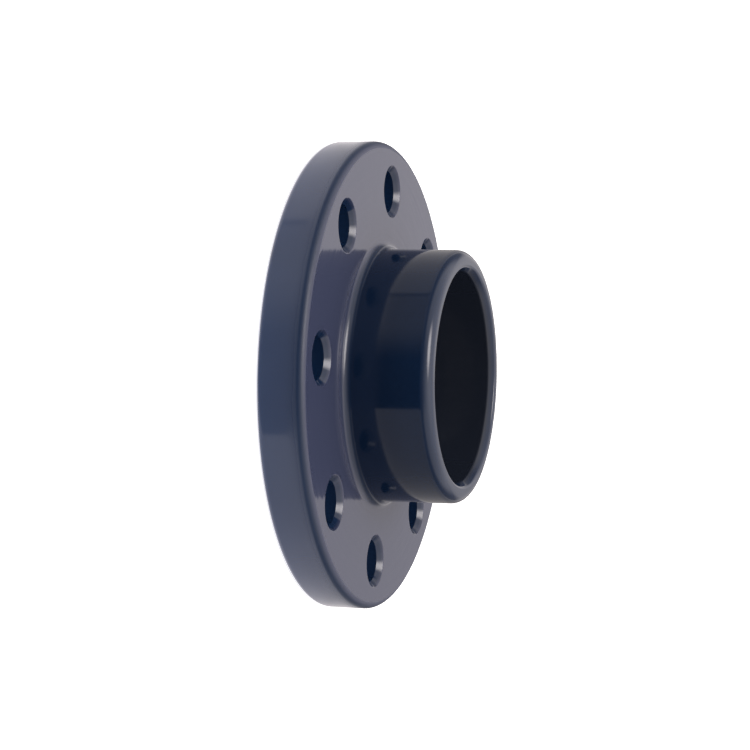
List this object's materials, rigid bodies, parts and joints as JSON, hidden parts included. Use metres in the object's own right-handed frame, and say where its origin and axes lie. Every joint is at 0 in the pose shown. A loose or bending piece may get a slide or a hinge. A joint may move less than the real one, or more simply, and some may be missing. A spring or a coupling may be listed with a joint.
{
  "type": "socket flange",
  "caption": "Full-face socket flange for plastic pipe: a thick drilled disc with a plain cement socket hub, moulded in one piece.",
  "frame": {"origin": "centre of the flange's mating face, which lies on z = 0", "axes": "+Z along the pipe's axis, from the mating face towards the mouth of the socket; the bolt holes straddle X and Y"},
  "size_m": [0.201, 0.201, 0.0572],
  "materials": {
    "pipe_plastic": "glossy dark blue-grey moulded pipe plastic"
  },
  "bodies": {
    "root": {"socket_flange": "pipe_plastic"}
  },
  "joints": []
}
